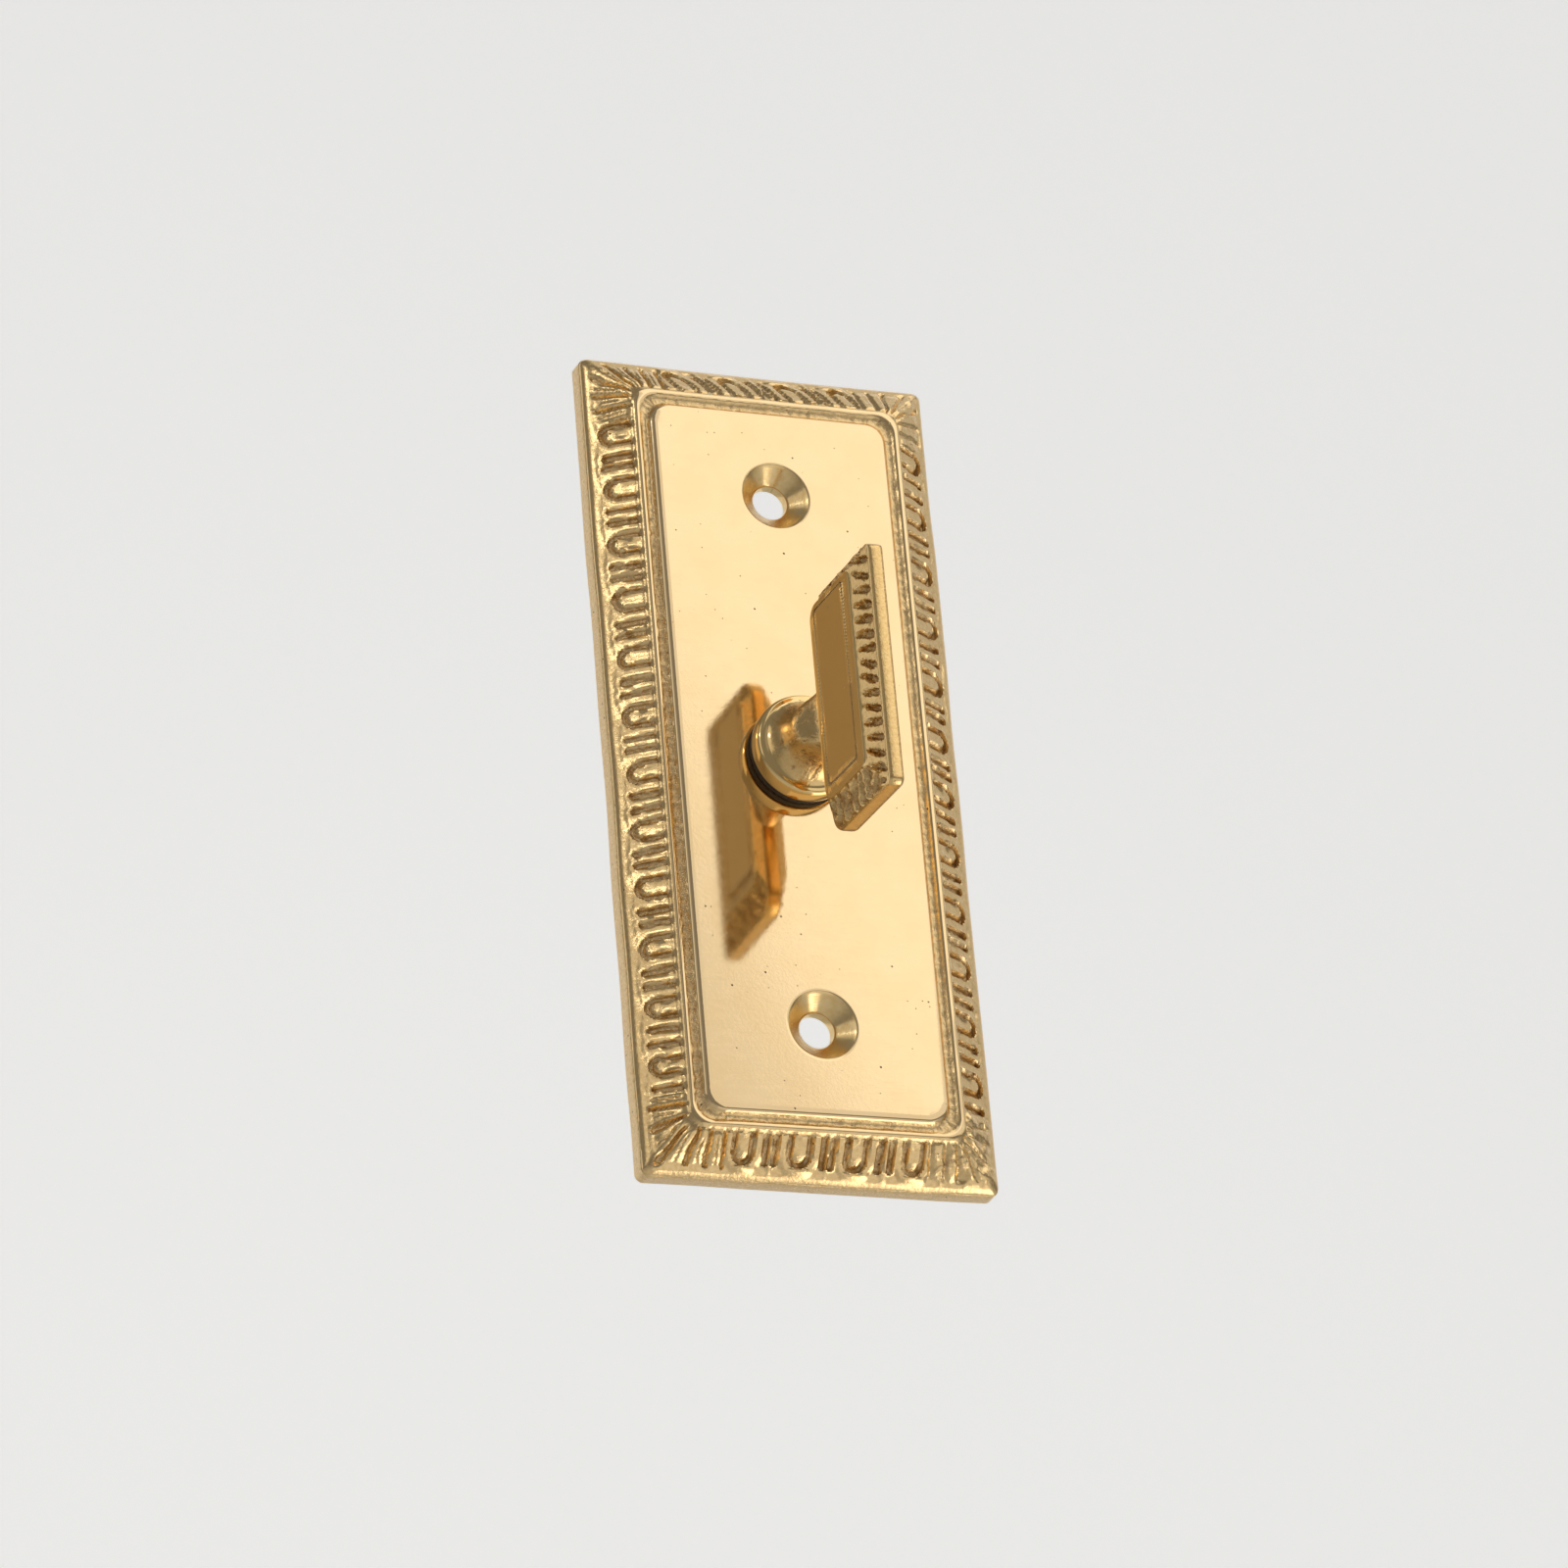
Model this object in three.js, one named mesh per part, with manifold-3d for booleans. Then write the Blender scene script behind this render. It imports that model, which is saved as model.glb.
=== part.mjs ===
// Cast brass thumb turn on a rectangular back plate, with the spindle that works the latch.
// Millimetres. The plate stands upright: X across, Z up, and the front faces -Y.
// The origin is on the spindle axis, in the plane of the door face that the plate is screwed to.
// Shapes are drawn lying down first: x across, y up the plate, z the height above the door face.

import * as THREE from 'three';
import { mergeVertices } from 'three/addons/utils/BufferGeometryUtils.js';
import Module from 'manifold-3d';

const wasm = await Module();
wasm.setup();

// ---- driving dimensions ------------------------------------------------------------------

const PLATE_WIDTH = 44.5;          // 1 3/4 in
const PLATE_HEIGHT = 104.8;        // 4 1/8 in
const PANEL_HEIGHT = 6.9;          // polished panel above the door face
const PANEL_INSET = 7.1;           // from the plate's edge to the panel
const PANEL_CORNER = 2.8;
const EDGE_WALL = 2.8;             // height of the plate's outer edge
const METAL = 3.3;                 // thickness of the casting under the panel
const SCREW_SPACING = 68;
const SCREW_HOLE_RADIUS = 2.15;
const COUNTERSINK_RADIUS = 4.25;
const COUNTERSINK_DEPTH = 1.9;

const SHANK_RADIUS = 4.75;
const BORE_RADIUS = 4.9;
const FLANGE_RADIUS = 6.45;
const FLANGE_BOTTOM = 8.05;
const FLANGE_TOP = 10.4;
const NECK_RADIUS = 3.75;
const NECK_WAIST = 14;             // height of the neck's narrowest place
const WING_LENGTH = 30.4;
const WING_INNER = 17.3;           // height of the wing's edge next to the plate
const WING_OUTER = 33.6;
const WING_HALF_EDGE = 0.9;        // half the thickness round the wing's rim
const WING_HALF_PANEL = 2.0;       // half the thickness at its flat panels
const SHANK_TIP = -8;

const SPINDLE_SIDE = 5;            // standard 5 mm square bar
const SPINDLE_INNER_END = 0.4;
const SPINDLE_TIP = -45;
const SOCKET_CLEARANCE = 0.12;
const PIN_RADIUS = 1;
const PIN_HEIGHT = -4.5;
const RUNNING_GAP = 0.05;          // between faces that rub on each other

const ROUND_STEPS = 48;

// The stack in the hollow back, from the underside of the casting downward:
// wave washer, thrust washer, retaining ring.
const POCKET_CEILING = PANEL_HEIGHT - METAL;
const WAVE_THICKNESS = 0.3;
const WAVE_RISE = 0.35;
const WAVE_COUNT = 3;
const WAVE_MIDDLE = POCKET_CEILING - RUNNING_GAP - WAVE_THICKNESS / 2 - WAVE_RISE;
const THRUST_THICKNESS = 0.7;
const THRUST_TOP = WAVE_MIDDLE - WAVE_RISE - WAVE_THICKNESS / 2 - RUNNING_GAP;
const RING_THICKNESS = 0.8;
const RING_TOP = THRUST_TOP - THRUST_THICKNESS - RUNNING_GAP;
const RING_BOTTOM = RING_TOP - RING_THICKNESS;

// ---- helpers -----------------------------------------------------------------------------

function toSolid(geometry) {
  const bare = geometry.clone();
  bare.deleteAttribute('normal');
  bare.deleteAttribute('uv');
  const merged = mergeVertices(bare, 1e-5);
  return new wasm.Manifold(new wasm.Mesh({
    numProp: 3,
    vertProperties: new Float32Array(merged.attributes.position.array),
    triVerts: new Uint32Array(merged.index.array),
  }));
}

function toGeometry(solid) {
  const mesh = solid.getMesh();
  const geometry = new THREE.BufferGeometry();
  geometry.setAttribute('position', new THREE.BufferAttribute(new Float32Array(mesh.vertProperties), 3));
  geometry.setIndex(new THREE.BufferAttribute(new Uint32Array(mesh.triVerts), 1));
  geometry.computeVertexNormals();
  return geometry;
}

// A closed skin through rings of points, each ring with the same count, capped at both ends
// by a fan about the ring's middle. closed=true joins the last ring to the first instead.
function skin(rings, closed = false) {
  const count = rings[0].length;
  const points = rings.flat();
  const triangles = [];
  const bands = closed ? rings.length : rings.length - 1;
  for (let ring = 0; ring < bands; ring += 1) {
    const here = ring * count;
    const next = ((ring + 1) % rings.length) * count;
    for (let i = 0; i < count; i += 1) {
      const j = (i + 1) % count;
      triangles.push([here + i, here + j, next + j], [here + i, next + j, next + i]);
    }
  }
  if (!closed) {
    addFan(points, triangles, 0, count, false);
    addFan(points, triangles, (rings.length - 1) * count, count, true);
  }
  const geometry = new THREE.BufferGeometry();
  geometry.setAttribute('position', new THREE.Float32BufferAttribute(points.flat(), 3));
  geometry.setIndex(triangles.flat());
  return geometry;
}

function addFan(points, triangles, start, count, upward) {
  const middle = [0, 0, 0];
  for (let i = 0; i < count; i += 1) {
    for (let k = 0; k < 3; k += 1) middle[k] += points[start + i][k] / count;
  }
  const centre = points.push(middle) - 1;
  for (let i = 0; i < count; i += 1) {
    const j = (i + 1) % count;
    triangles.push(upward ? [start + i, start + j, centre] : [start + j, start + i, centre]);
  }
}

// Points of a rectangle with rounded corners, counter-clockwise from the right-hand side.
function roundedRectangle(left, right, bottom, top, leftRadius, rightRadius = leftRadius, steps = 6) {
  const corners = [
    [right - rightRadius, top - rightRadius, rightRadius, 0],
    [left + leftRadius, top - leftRadius, leftRadius, 90],
    [left + leftRadius, bottom + leftRadius, leftRadius, 180],
    [right - rightRadius, bottom + rightRadius, rightRadius, 270],
  ];
  const points = [];
  for (const [cx, cy, radius, start] of corners) {
    for (let step = 0; step <= steps; step += 1) {
      const angle = THREE.MathUtils.degToRad(start + (90 * step) / steps);
      points.push([cx + radius * Math.cos(angle), cy + radius * Math.sin(angle)]);
    }
  }
  return points;
}

function ellipseRing(halfX, halfY, height, steps = ROUND_STEPS) {
  const ring = [];
  for (let step = 0; step < steps; step += 1) {
    const angle = (2 * Math.PI * step) / steps;
    ring.push([halfX * Math.cos(angle), halfY * Math.sin(angle), height]);
  }
  return ring;
}

// A turned solid about the spindle axis, from [radius, height] pairs listed upward.
function turned(profile, steps = ROUND_STEPS) {
  return skin(profile.map(([radius, height]) => ellipseRing(radius, radius, height, steps)));
}

function turnedRing(profile, steps = ROUND_STEPS) {
  return skin(profile.map(([radius, height]) => ellipseRing(radius, radius, height, steps)), true);
}

const washer = (inner, outer, bottom, top, edge) => turnedRing([
  [inner, bottom],
  [outer - edge, bottom],
  [outer, bottom + edge],
  [outer, top - edge],
  [outer - edge, top],
  [inner, top],
]);

// Stands a shape up: what was height above the door face now points to -Y.
const STAND_UP = new THREE.Matrix4().set(1, 0, 0, 0, 0, 0, -1, 0, 0, 1, 0, 0, 0, 0, 0, 1);

function part(name, geometry, color, roughness, metalness) {
  const material = new THREE.MeshStandardMaterial({ color, roughness, metalness });
  const mesh = new THREE.Mesh(geometry.clone().applyMatrix4(STAND_UP), material);
  mesh.name = name;
  return mesh;
}

// ---- back plate --------------------------------------------------------------------------

function plateRing(inset, height, radius) {
  const halfWidth = PLATE_WIDTH / 2 - inset;
  const halfHeight = PLATE_HEIGHT / 2 - inset;
  const outline = roundedRectangle(-halfWidth, halfWidth, -halfHeight, halfHeight, radius);
  return outline.map(([x, y]) => [x, y, height]);
}

function backplate() {
  const shoulder = EDGE_WALL + 0.8;
  const beadTop = PANEL_HEIGHT - 0.4;
  const grooveFloor = PANEL_HEIGHT - 0.8;
  const body = skin([
    plateRing(5.2, POCKET_CEILING, 3),
    plateRing(4.0, 0, 3.4),
    plateRing(0.3, 0, 0.8),
    plateRing(0, 0.3, 1),
    plateRing(0, EDGE_WALL - 0.3, 1),
    plateRing(0.3, EDGE_WALL, 1),
    plateRing(1.4, shoulder, 1.2),
    plateRing(5.0, beadTop - 0.4, 2.1),
    plateRing(5.4, beadTop, 2.3),
    plateRing(5.9, beadTop, 2.4),
    plateRing(6.2, grooveFloor, 2.5),
    plateRing(6.9, grooveFloor, 2.7),
    plateRing(PANEL_INSET, PANEL_HEIGHT - 0.25, PANEL_CORNER),
    plateRing(PANEL_INSET + 0.3, PANEL_HEIGHT, PANEL_CORNER),
  ]);
  const through = PANEL_HEIGHT + 1;
  const bore = toSolid(turned([[BORE_RADIUS, -1], [BORE_RADIUS, through]]));
  const coneSlope = (COUNTERSINK_RADIUS - SCREW_HOLE_RADIUS) / COUNTERSINK_DEPTH;
  const screwHole = toSolid(turned([
    [SCREW_HOLE_RADIUS, -1],
    [SCREW_HOLE_RADIUS, PANEL_HEIGHT - COUNTERSINK_DEPTH],
    [COUNTERSINK_RADIUS + coneSlope, through],
  ], 32));
  let solid = toSolid(body).subtract(bore);
  for (const side of [-1, 1]) {
    solid = solid.subtract(screwHole.translate([0, (side * SCREW_SPACING) / 2, 0]));
  }
  return toGeometry(solid);
}

// ---- thumb turn --------------------------------------------------------------------------

// One ring of the wing: its outline in the y-z plane, at a distance x from its middle plane.
function wingRing(x, endInset, innerInset, outerInset, innerRadius, outerRadius) {
  const halfLength = WING_LENGTH / 2 - endInset;
  const outline = roundedRectangle(
    WING_INNER + innerInset, WING_OUTER - outerInset, -halfLength, halfLength, innerRadius, outerRadius);
  return outline.map(([height, y]) => [x, -y, height]).reverse();
}

function wing() {
  const oneSide = (side) => [
    wingRing(side * (WING_HALF_EDGE - 0.1), 0, 0, 0, 3, 0.9),
    wingRing(side * WING_HALF_EDGE, 0.2, 0.1, 0.2, 2.9, 0.8),
    wingRing(side * (WING_HALF_PANEL - 0.1), 3.7, 1.2, 4.6, 1.6, 0.6),
    wingRing(side * WING_HALF_PANEL, 3.9, 1.4, 4.8, 1.5, 0.6),
    wingRing(side * WING_HALF_PANEL, 4.4, 1.8, 5.2, 1.1, 0.4),
    wingRing(side * (WING_HALF_PANEL - 0.2), 4.55, 1.95, 5.35, 0.9, 0.4),
    wingRing(side * WING_HALF_PANEL, 4.7, 2.1, 5.5, 0.7, 0.4),
  ];
  return skin([...oneSide(1).reverse(), ...oneSide(-1)]);
}

// The trumpet neck is round at its waist and spreads along the wing as it meets it.
function neckRings() {
  const rings = [];
  const footSteps = 8;
  const foot = NECK_WAIST - FLANGE_TOP;
  const footFlare = FLANGE_RADIUS - 0.35 - NECK_RADIUS;
  for (let step = 1; step <= footSteps; step += 1) {
    const angle = (Math.PI / 2) * (step / footSteps);
    const radius = NECK_RADIUS + footFlare * (1 - Math.sin(angle));
    rings.push(ellipseRing(radius, radius, NECK_WAIST - foot * Math.cos(angle)));
  }
  const headSteps = 8;
  const head = WING_INNER + 1.3 - NECK_WAIST;
  const headSpread = 2.6;
  for (let step = 1; step <= headSteps; step += 1) {
    const along = step / headSteps;
    const narrowing = (NECK_RADIUS - WING_HALF_PANEL + 0.3) * (1 - Math.cos(Math.PI * along)) / 2;
    const spread = headSpread * (1 - Math.sqrt(1 - along * along));
    rings.push(ellipseRing(NECK_RADIUS - narrowing, NECK_RADIUS + spread, NECK_WAIST + head * along));
  }
  return rings;
}

function thumbTurn() {
  const grooveRadius = 4.1;
  const shankAndFlange = [
    [SHANK_RADIUS - 0.4, SHANK_TIP],
    [SHANK_RADIUS, SHANK_TIP + 0.4],
    [SHANK_RADIUS, RING_BOTTOM - RUNNING_GAP],
    [grooveRadius, RING_BOTTOM - RUNNING_GAP],
    [grooveRadius, RING_TOP + RUNNING_GAP],
    [SHANK_RADIUS, RING_TOP + RUNNING_GAP],
    [SHANK_RADIUS, FLANGE_BOTTOM],
    [FLANGE_RADIUS - 0.25, FLANGE_BOTTOM],
    [FLANGE_RADIUS, FLANGE_BOTTOM + 0.25],
    [FLANGE_RADIUS, FLANGE_TOP - 0.35],
    [FLANGE_RADIUS - 0.35, FLANGE_TOP],
  ];
  const rings = shankAndFlange.map(([radius, height]) => ellipseRing(radius, radius, height));
  const stem = skin([...rings, ...neckRings()]);
  const socketSide = SPINDLE_SIDE + 2 * SOCKET_CLEARANCE;
  const socketFloor = SPINDLE_INNER_END + 0.2;
  const socketLength = socketFloor - SHANK_TIP + 1;
  const socket = new THREE.BoxGeometry(socketSide, socketSide, socketLength);
  socket.translate(0, 0, socketFloor - socketLength / 2);
  const solid = toSolid(stem)
    .add(toSolid(wing()))
    .subtract(toSolid(socket))
    .subtract(pinHole());
  return toGeometry(solid);
}

// ---- washers and retaining ring ----------------------------------------------------------

const frictionWasher = () => washer(
  BORE_RADIUS + 0.15, FLANGE_RADIUS - 0.2, PANEL_HEIGHT + RUNNING_GAP, FLANGE_BOTTOM - RUNNING_GAP, 0.15);

const thrustWasher = () => washer(
  SHANK_RADIUS + 0.15, 7.6, THRUST_TOP - THRUST_THICKNESS, THRUST_TOP, 0.1);

function waveWasher() {
  const inner = SHANK_RADIUS + 0.35;
  const outer = 7.3;
  const steps = 72;
  const half = WAVE_THICKNESS / 2;
  const sections = [];
  for (let step = 0; step < steps; step += 1) {
    const angle = (2 * Math.PI * step) / steps;
    const middle = WAVE_MIDDLE + WAVE_RISE * Math.cos(WAVE_COUNT * angle);
    const corners = [[inner, -half], [inner, half], [outer, half], [outer, -half]];
    sections.push(corners.map(([radius, rise]) => [
      radius * Math.cos(angle), radius * Math.sin(angle), middle + rise]));
  }
  return skin(sections, true);
}

// An external circlip: a ring that is open at the bottom, with a drilled lug on each end.
function retainingRing() {
  const inner = 4.2;
  const outer = 5.9;
  const gapHalfAngle = THREE.MathUtils.degToRad(16);
  const lugRadius = 1.15;
  const lugDistance = outer - 0.1;
  const down = -Math.PI / 2;
  const arc = new THREE.Shape();
  arc.absarc(0, 0, outer, down + gapHalfAngle, down - gapHalfAngle + 2 * Math.PI, false);
  arc.absarc(0, 0, inner, down - gapHalfAngle + 2 * Math.PI, down + gapHalfAngle, true);
  const depth = RING_THICKNESS;
  let solid = toSolid(new THREE.ExtrudeGeometry(arc, { depth, bevelEnabled: false, curveSegments: 40 }));
  for (const side of [-1, 1]) {
    const angle = down + side * (gapHalfAngle + 0.16);
    const place = [lugDistance * Math.cos(angle), lugDistance * Math.sin(angle), 0];
    const lug = toSolid(turned([[lugRadius, 0], [lugRadius, depth]], 20));
    const hole = toSolid(turned([[0.5, -1], [0.5, depth + 1]], 12));
    const wedge = toSolid(turned([[inner, -1], [inner, depth + 1]]));
    solid = solid.add(lug.translate(place)).subtract(hole.translate(place)).subtract(wedge);
  }
  return toGeometry(solid.translate([0, 0, RING_BOTTOM]));
}

// ---- spindle and its pin -----------------------------------------------------------------

function pinHole() {
  const radius = PIN_RADIUS + 0.12;
  const hole = new THREE.CylinderGeometry(radius, radius, 3 * SHANK_RADIUS, 24);
  hole.rotateZ(Math.PI / 2);
  hole.translate(0, 0, PIN_HEIGHT);
  return toSolid(hole);
}

function spindleBar() {
  const half = SPINDLE_SIDE / 2;
  const chamfer = 0.6;
  const square = (side, height) => roundedRectangle(-side, side, -side, side, 0.25, 0.25, 2)
    .map(([x, y]) => [x, y, height]);
  const bar = skin([
    square(half - chamfer, SPINDLE_TIP),
    square(half, SPINDLE_TIP + chamfer),
    square(half, SPINDLE_INNER_END - chamfer),
    square(half - chamfer, SPINDLE_INNER_END),
  ]);
  return toGeometry(toSolid(bar).subtract(pinHole()));
}

// A rolled spring pin: a tube slit along its length.
function crossPin() {
  const inner = PIN_RADIUS - 0.35;
  const slit = THREE.MathUtils.degToRad(18);
  const section = new THREE.Shape();
  section.absarc(0, 0, PIN_RADIUS, slit, 2 * Math.PI - slit, false);
  section.absarc(0, 0, inner, 2 * Math.PI - slit, slit, true);
  const depth = 2 * SHANK_RADIUS - 0.3;
  const pin = new THREE.ExtrudeGeometry(section, { depth, bevelEnabled: false, curveSegments: 14 });
  pin.translate(0, 0, -depth / 2);
  pin.rotateY(Math.PI / 2);
  pin.translate(0, 0, PIN_HEIGHT);
  return pin;
}

// ---- assembly ----------------------------------------------------------------------------

const BRASS = 0xd9b36a;
const STEEL = 0xa7a9ab;

const thumbTurnAssembly = new THREE.Group();
thumbTurnAssembly.add(
  part('backplate', backplate(), BRASS, 0.18, 1),
  part('thumb_turn', thumbTurn(), BRASS, 0.2, 1),
  part('friction_washer', frictionWasher(), 0x17130f, 0.75, 0),
  part('wave_washer', waveWasher(), 0x6f7072, 0.35, 1),
  part('thrust_washer', thrustWasher(), STEEL, 0.35, 1),
  part('retaining_ring', retainingRing(), 0x2e2c2b, 0.45, 1),
  part('spindle_bar', spindleBar(), STEEL, 0.4, 1),
  part('cross_pin', crossPin(), 0x5b5c5e, 0.4, 1),
);

export default thumbTurnAssembly;
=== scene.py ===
# Looks of a cast brass thumb turn on a rectangular back plate with an egg-and-dart border.
# Shapes are worked out in millimetres lying down: x across the plate, y up it, and z the height
# above the door face. place() stands them up in the frame's metres, with the front facing -Y.

import math

import bpy
import numpy as np
from mathutils import Euler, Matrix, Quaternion, Vector
from mathutils.geometry import delaunay_2d_cdt


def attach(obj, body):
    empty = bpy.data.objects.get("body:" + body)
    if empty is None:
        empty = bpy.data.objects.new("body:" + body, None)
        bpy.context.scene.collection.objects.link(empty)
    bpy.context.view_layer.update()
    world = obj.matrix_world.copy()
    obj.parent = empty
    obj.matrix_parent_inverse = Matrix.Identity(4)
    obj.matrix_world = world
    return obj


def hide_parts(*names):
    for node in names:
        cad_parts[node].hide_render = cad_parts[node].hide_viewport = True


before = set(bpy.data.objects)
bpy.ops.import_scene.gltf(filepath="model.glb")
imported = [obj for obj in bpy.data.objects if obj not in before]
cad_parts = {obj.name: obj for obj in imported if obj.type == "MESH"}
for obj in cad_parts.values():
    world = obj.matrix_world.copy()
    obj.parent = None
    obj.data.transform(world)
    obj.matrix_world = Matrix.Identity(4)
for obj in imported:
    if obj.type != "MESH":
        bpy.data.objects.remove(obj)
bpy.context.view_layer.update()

MM = 0.001

# ---- driving dimensions, in millimetres ------------------------------------------------------

HALF_WIDTH = 22.25
HALF_HEIGHT = 52.4
PANEL_HEIGHT = 6.9
PANEL_INSET = 7.1
PANEL_CORNER = 2.8
OUTER_CORNER = 1.0
CORNER_REACH = PANEL_INSET + PANEL_CORNER
POCKET_CEILING = 3.6
BORE_RADIUS = 4.9
HOLE_RADIUS = 2.15
HOLE_SIDES = 72
COUNTERSINK_RADIUS = 4.25
COUNTERSINK_DEPTH = 1.9
SCREW_HEIGHT = 34.0
COLUMN_STEP = 0.21              # between the points along the border

SHANK_RADIUS = 4.75
FLANGE_RADIUS = 6.45
FLANGE_BOTTOM = 8.05
FLANGE_TOP = 10.4
NECK_RADIUS = 3.75
NECK_WAIST = 14.0
WING_INNER = 17.3
WING_OUTER = 33.6
WING_HALF_LENGTH = 15.2
SHANK_TIP = -8.0
RING_TOP = 1.6
RING_BOTTOM = 0.8
SOCKET_HALF = 2.62              # of the square socket for the spindle
SOCKET_TOP = 0.6
PIN_HOLE_RADIUS = 1.12
PIN_HOLE_HEIGHT = -4.5
PIN_HOLE_REACH = 8.0
PIN_HOLE_SIDES = 32
STEM_SIDES = 120
WASHER_BOTTOM = 6.95
WASHER_TOP = 8.0
WASHER_SIDES = 160


# ---- helpers ---------------------------------------------------------------------------------

def smoothstep(low, high, value):
    t = np.clip((np.asarray(value, dtype=float) - low) / (high - low), 0, 1)
    return t * t * (3 - 2 * t)


def bell(distance, spread):
    return np.exp(-(distance / spread) ** 2)


def hump(distance, half_width):
    """1 in the middle, falling to 0 at half_width and beyond."""
    return np.clip(1 - (distance / half_width) ** 2, 0, 1)


def wander(u, v, pitch, seed):
    """Smooth random values from -1 to 1 that change over about one pitch."""
    size = 64
    table = np.random.RandomState(seed).uniform(-1, 1, (size, size))
    u = np.asarray(u, dtype=float) / pitch
    v = np.asarray(v, dtype=float) / pitch
    iu = np.floor(u).astype(int)
    iv = np.floor(v).astype(int)
    fu = smoothstep(0, 1, u - iu)
    fv = smoothstep(0, 1, v - iv)

    def along_row(row):
        return table[iu % size, row % size] * (1 - fu) + table[(iu + 1) % size, row % size] * fu

    return along_row(iv) * (1 - fv) + along_row(iv + 1) * fv


def place(points):
    """From (x, y, z) lying down in millimetres to the frame's metres."""
    points = np.asarray(points, dtype=float)
    return np.stack([points[:, 0], -points[:, 2], points[:, 1]], axis=1) * MM


def strip(first, second, count):
    """Quads between two closed rows of points, given the number of each row's first point."""
    following = [(i + 1) % count for i in range(count)]
    return [(first + i, first + j, second + j, second + i) for i, j in enumerate(following)]


def grid_faces(rows, columns):
    """Quads between closed rows of points, each row with the same number of columns."""
    faces = []
    for row in range(rows - 1):
        faces += strip(row * columns, (row + 1) * columns, columns)
    return faces


def cap_ends(points, faces, recess, columns):
    """Closes the first and the last row of points with a fan of triangles."""
    for start, flip in ((0, True), (len(points) - columns, False)):
        middle = len(points)
        points.append(np.mean(points[start:start + columns], axis=0))
        recess.append(0.0)
        for i in range(columns):
            j = (i + 1) % columns
            faces.append((start + j, start + i, middle) if flip else (start + i, start + j, middle))


def make_mesh(name, points, faces, values=None, sharp_degrees=32):
    """An object from points in millimetres. values holds one number per point for each attribute."""
    mesh = bpy.data.meshes.new(name)
    mesh.from_pydata(place(points).tolist(), [], faces)
    for attribute, numbers in (values or {}).items():
        layer = mesh.attributes.new(attribute, "FLOAT", "POINT")
        layer.data.foreach_set("value", np.asarray(numbers, dtype=np.float32))
    mesh.update()
    obj = bpy.data.objects.new(name, mesh)
    bpy.context.scene.collection.objects.link(obj)
    if sharp_degrees:
        shade(mesh, sharp_degrees)
    return obj


def shade(mesh, sharp_degrees):
    mesh.shade_smooth()
    mesh.set_sharp_from_angle(angle=math.radians(sharp_degrees))


def circle(radius, height, centre=(0.0, 0.0), count=HOLE_SIDES):
    angles = np.arange(count) * 2 * math.pi / count
    x = centre[0] + radius * np.cos(angles)
    y = centre[1] + radius * np.sin(angles)
    return np.stack([x, y, np.full(count, float(height))], axis=1)


def turned_row(across, along, height, angles):
    """Points round the spindle's axis, with their own radii across and up the plate."""
    return np.stack([across * np.cos(angles), along * np.sin(angles), np.full(len(angles), height)], axis=1)


def fill(outline, holes, inner_points, points):
    """Triangles that fill an outline around round holes. Each loop is a list of point numbers."""
    loops = [outline] + holes
    used = [index for loop in loops for index in loop] + list(inner_points)
    local = {index: number for number, index in enumerate(used)}
    edges = []
    for loop in loops:
        edges += [(local[loop[i - 1]], local[loop[i]]) for i in range(len(loop))]
    flat = [Vector(points[index][:2]) for index in used]
    _, _, triangles, originals, _, _ = delaunay_2d_cdt(flat, edges, [], 0, 1e-6)
    circles = []
    for hole in holes:
        middle = np.mean([points[index][:2] for index in hole], axis=0)
        circles.append((middle, np.hypot(*(points[hole[0]][:2] - middle))))
    faces = []
    for triangle in triangles:
        corners = [used[originals[corner][0]] for corner in triangle]
        middle = np.mean([points[index][:2] for index in corners], axis=0)
        if all(np.hypot(*(middle - centre)) > radius for centre, radius in circles):
            faces.append(tuple(corners))
    return faces


# ---- back plate ------------------------------------------------------------------------------

def plate_columns():
    """Lines that cross the border outward, anticlockwise from the foot of the right side:
    where each starts, its direction, and its angle within a corner (or -1 on a side)."""
    starts, directions, angles = [], [], []
    centre_x = HALF_WIDTH - CORNER_REACH
    centre_y = HALF_HEIGHT - CORNER_REACH
    corners = [(centre_x, centre_y), (-centre_x, centre_y), (-centre_x, -centre_y), (centre_x, -centre_y)]
    for quarter in range(4):
        turn = quarter * math.pi / 2
        outward = np.array([math.cos(turn), math.sin(turn)])
        begin = np.array(corners[quarter - 1])
        end = np.array(corners[quarter])
        count = int(round(np.hypot(*(end - begin)) / COLUMN_STEP))
        for i in range(count):
            starts.append(begin + (end - begin) * i / count)
            directions.append(outward)
            angles.append(-1.0)
        count = int(round(2 * CORNER_REACH / COLUMN_STEP))
        for i in range(count):
            along = 2 * i / count
            angle = math.atan(along) if along < 1 else math.pi / 2 - math.atan(2 - along)
            starts.append(end)
            directions.append(np.array([math.cos(turn + angle), math.sin(turn + angle)]))
            angles.append(angle)
    return np.array(starts), np.array(directions), np.array(angles)


def outline_distance(angles, inset):
    """How far along each column the plate's outline at this inset lies."""
    edge = CORNER_REACH - inset
    radius = min(edge, OUTER_CORNER + (PANEL_CORNER - OUTER_CORNER) * inset / PANEL_INSET)
    middle = edge - radius
    cosine = np.cos(angles)
    sine = np.sin(angles)
    along = middle * (cosine + sine)
    arc = along + np.sqrt(np.maximum(0, along ** 2 - 2 * middle ** 2 + radius ** 2))
    straight = edge / np.maximum(cosine, sine)
    on_straight = straight * np.minimum(cosine, sine) <= middle
    return np.where(angles < 0, edge, np.where(on_straight, straight, arc))


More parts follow.
